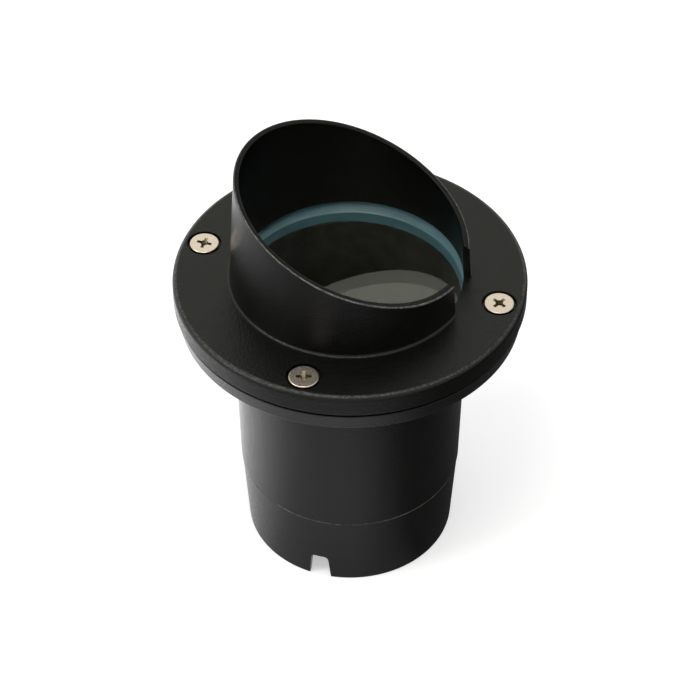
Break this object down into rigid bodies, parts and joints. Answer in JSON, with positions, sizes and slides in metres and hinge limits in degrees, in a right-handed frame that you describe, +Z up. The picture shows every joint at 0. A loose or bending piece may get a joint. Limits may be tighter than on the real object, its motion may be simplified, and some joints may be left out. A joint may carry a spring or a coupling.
{
  "type": "in ground well light",
  "caption": "In ground well light: cast pot with flange, face ring with angled glare hood, gasketed glass lens, and a reflector lamp that swivels and tilts inside.",
  "frame": {"origin": "centre of the pot's bottom rim, on the ground plane", "axes": "+Z up along the pot's axis; +X towards the hood's low side with the drain slot; the cable notch is at -Y"},
  "size_m": [0.12, 0.12, 0.1578],
  "materials": {
    "powder_coat": "fine textured black powder coat on cast aluminium",
    "stainless": "satin",
    "silicone": "blue-grey moulded silicone",
    "lens": "polished",
    "nylon": "matte",
    "black_rubber": "matte",
    "brass": "satin",
    "zinc_steel": "zinc plated, satin",
    "white_nylon": "matte",
    "bare_aluminium": "dark anodised, satin",
    "reflector": "faceted mirror coat on pressed glass",
    "lamp_glass": "polished",
    "porcelain": "unglazed steatite",
    "lead_sleeve": "glass-fibre sleeved silicone lead"
  },
  "bodies": {
    "housing": {"housing_body": "powder_coat", "lens_gasket": "silicone", "lens_glass": "lens", "cable_elbow": "nylon", "cable_seal": "black_rubber", "clamp_nut": "nylon", "elbow_seal": "black_rubber", "hollow_nipple": "brass", "swivel_spacer": "nylon", "swivel_washer": "zinc_steel", "swivel_nut": "zinc_steel"},
    "cover": {"hood_cover": "powder_coat", "cover_screws": "stainless"},
    "bracket": {"swivel_bracket": "zinc_steel", "terminal_block": "white_nylon", "terminal_screw": "zinc_steel"},
    "lamp_head": {"gimbal_ring": "bare_aluminium", "tilt_screws": "stainless", "tilt_washers": "zinc_steel", "lamp_clip": "stainless", "lamp_reflector": "reflector", "lamp_front_glass": "lamp_glass", "lamp_capsule": "lamp_glass", "lamp_pins": "brass", "lamp_socket": "porcelain", "socket_leads": "lead_sleeve"}
  },
  "joints": [
    {"name": "cover_lift", "type": "slide", "parent": "housing", "child": "cover", "axis": [0, 0, 1], "range_m": [0, 0.05]},
    {"name": "lamp_swivel", "type": "hinge", "parent": "housing", "child": "bracket", "pos_m": [0, 0, 0.0174], "axis": [0, 0, 1], "range_deg": [-170, 170]},
    {"name": "lamp_tilt", "type": "hinge", "parent": "bracket", "child": "lamp_head", "pos_m": [0, 0, 0.062], "axis": [0, 1, 0], "range_deg": [-25, 25], "deforming": ["socket_leads"]}
  ]
}
